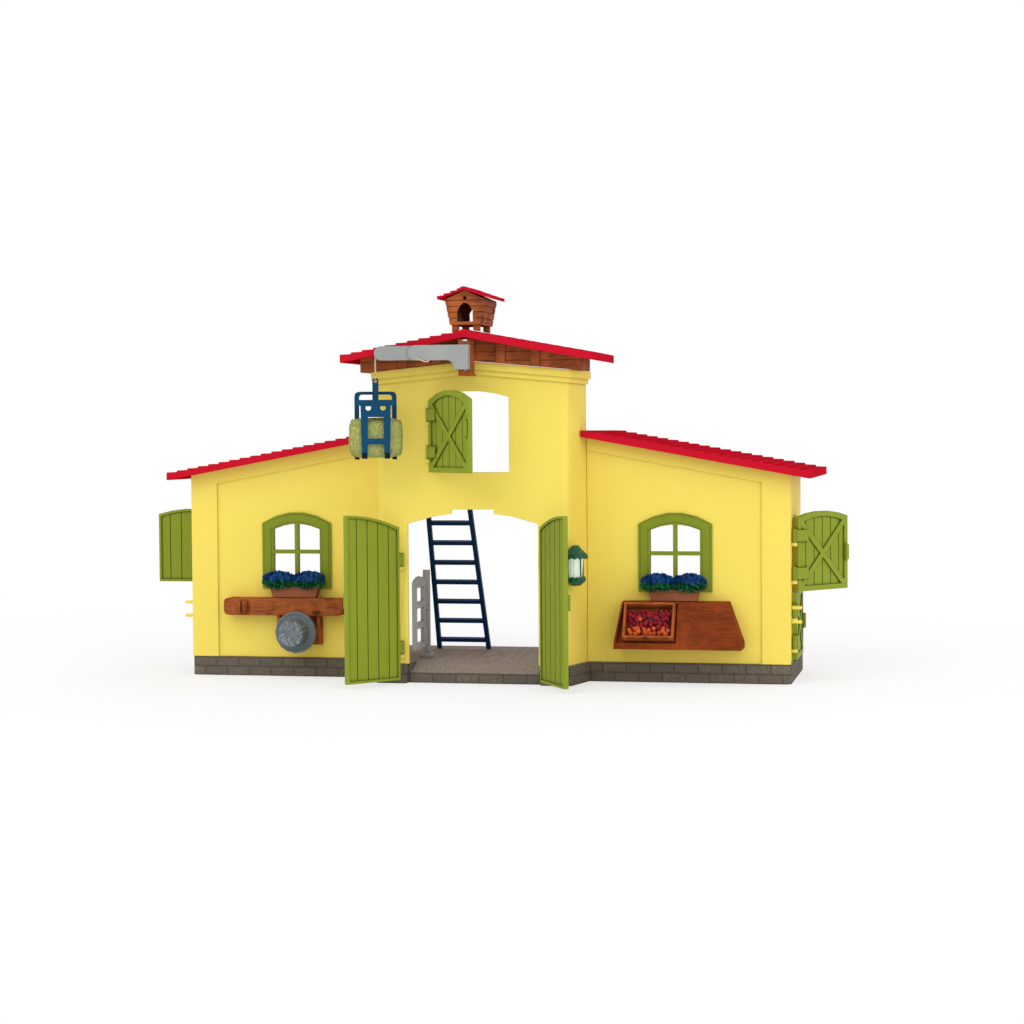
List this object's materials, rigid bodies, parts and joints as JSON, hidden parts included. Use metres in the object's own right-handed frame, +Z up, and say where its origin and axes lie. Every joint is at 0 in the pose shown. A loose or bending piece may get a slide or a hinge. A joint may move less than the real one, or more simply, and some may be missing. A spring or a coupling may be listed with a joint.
{
  "type": "toy barn with opening doors",
  "caption": "Toy barn with a tall middle bay and two low wings, hinged doors and hatches, a swivelling hoist with a bale grab, a loft, a ladder and a dovecote.",
  "frame": {"origin": "middle of the base plate's underside", "axes": "+X to the right along the front, +Y from the front to the open back, +Z up"},
  "size_m": [0.5907, 0.2518, 0.3084],
  "materials": {
    "wall_yellow": "satin",
    "door_green": "satin",
    "window_green": "satin",
    "roof_red": "satin",
    "wood_brown": "matt",
    "stand_brown": "matt",
    "crate_brown": "matt",
    "terracotta": "matt",
    "crane_grey": "satin",
    "grab_blue": "satin",
    "ladder_navy": "satin",
    "base_stone": "matt",
    "gate_grey": "matt",
    "pin_steel": "brushed",
    "bale_green": "matt",
    "plant_blue": "matt",
    "produce_red": "satin",
    "lantern_green": "satin",
    "lantern_clear": "gloss",
    "stone_grey": "matt",
    "string_tan": "woven"
  },
  "bodies": {
    "barn": {"base_plate": "base_stone", "tower_wall": "wall_yellow", "gable_box": "wood_brown", "king_post": "wood_brown", "tower_roof": "roof_red", "dovecote_body": "wood_brown", "dovecote_roof": "roof_red", "loft_floor": "wood_brown", "ladder": "ladder_navy", "gate_post": "gate_grey", "wing_front_right": "wall_yellow", "wing_front_left": "wall_yellow", "wing_roof_right": "roof_red", "wing_roof_left": "roof_red", "window_frame_right": "window_green", "window_frame_left": "window_green", "flower_box_right": "terracotta", "flower_box_left": "terracotta", "plants_right": "plant_blue", "plants_left": "plant_blue", "end_wall_right": "wall_yellow", "end_wall_left": "wall_yellow", "tool_board": "wood_brown", "grindstone_bracket": "wood_brown", "produce_stand": "stand_brown", "produce_crate": "crate_brown", "produce": "produce_red", "lantern_body": "lantern_green", "lantern_glass": "lantern_clear", "crane_pin": "pin_steel"},
    "left_door": {"main_door_left": "door_green"},
    "right_door": {"main_door_right": "door_green"},
    "loft_door_leaf": {"loft_door": "door_green"},
    "right_upper_leaf": {"side_door_upper_right": "door_green"},
    "right_lower_leaf": {"side_door_lower_right": "door_green"},
    "left_upper_leaf": {"side_door_upper_left": "door_green"},
    "left_lower_leaf": {"side_door_lower_left": "door_green"},
    "crane": {"crane_arm": "crane_grey", "string_run": "string_tan", "hoist_string": "string_tan"},
    "winch_drum": {"winch": "crane_grey"},
    "pulley": {"tip_pulley": "crane_grey"},
    "grab": {"grab_frame": "grab_blue", "hoist_ring": "pin_steel", "jaw_pin": "pin_steel", "hay_bale": "bale_green"},
    "jaw": {"grab_jaw": "grab_blue"},
    "stone": {"grindstone": "stone_grey"},
    "gate": {"stall_gate": "gate_grey"}
  },
  "joints": [
    {"name": "left_door_hinge", "type": "hinge", "parent": "barn", "child": "left_door", "pos_m": [-0.057, -0.0764, 0.023], "axis": [0, 0, 1], "range_deg": [-47, 128]},
    {"name": "right_door_hinge", "type": "hinge", "parent": "barn", "child": "right_door", "pos_m": [0.057, -0.0764, 0.023], "axis": [0, 0, 1], "range_deg": [-122, 28]},
    {"name": "loft_door_hinge", "type": "hinge", "parent": "barn", "child": "loft_door_leaf", "pos_m": [-0.0336, -0.0764, 0.176], "axis": [0, 0, 1], "range_deg": [-20, 48]},
    {"name": "right_upper_hinge", "type": "hinge", "parent": "barn", "child": "right_upper_leaf", "pos_m": [0.2444, -0.01185, 0.0788], "axis": [0, 0, 1], "range_deg": [-114, 36]},
    {"name": "right_lower_hinge", "type": "hinge", "parent": "barn", "child": "right_lower_leaf", "pos_m": [0.2444, -0.01185, 0.025], "axis": [0, 0, 1], "range_deg": [-150, 0]},
    {"name": "left_upper_hinge", "type": "hinge", "parent": "barn", "child": "left_upper_leaf", "pos_m": [-0.2444, 0.05315, 0.0788], "axis": [0, 0, 1], "range_deg": [-60, 90]},
    {"name": "left_lower_hinge", "type": "hinge", "parent": "barn", "child": "left_lower_leaf", "pos_m": [-0.2444, 0.05315, 0.025], "axis": [0, 0, 1], "range_deg": [-150, 0]},
    {"name": "crane_swivel", "type": "hinge", "parent": "barn", "child": "crane", "pos_m": [0.002, -0.102, 0.25], "axis": [0, 0, 1], "range_deg": [0, 90]},
    {"name": "hoist", "type": "slide", "parent": "crane", "child": "grab", "axis": [0, 0, 1], "range_m": [-0.036, 0], "deforming": ["hoist_string"]},
    {"name": "winch_turn", "type": "hinge", "parent": "crane", "child": "winch_drum", "pos_m": [-0.0354, -0.1085, 0.25735], "axis": [0, 1, 0], "range_deg": [-490, 0]},
    {"name": "pulley_turn", "type": "hinge", "parent": "crane", "child": "pulley", "pos_m": [-0.0623, -0.1085, 0.25735], "axis": [0, 1, 0], "range_deg": [-410, 0]},
    {"name": "jaw_pivot", "type": "hinge", "parent": "grab", "child": "jaw", "pos_m": [-0.06541, -0.11574, 0.2193], "axis": [-0.9627, -0.2706, 0], "range_deg": [0, 30]},
    {"name": "grindstone_spin", "type": "hinge", "parent": "barn", "child": "stone", "pos_m": [-0.1508, -0.056, 0.037], "axis": [0, 1, 0], "continuous": true},
    {"name": "gate_hinge", "type": "hinge", "parent": "barn", "child": "gate", "pos_m": [-0.052, -0.0225, 0.029], "axis": [0, 0, 1], "range_deg": [0, 90]}
  ],
  "couplings": [
    {"joint": "winch_turn", "follows": "hoist", "rad_per_m": 235.29},
    {"joint": "pulley_turn", "follows": "hoist", "rad_per_m": 198.02}
  ]
}
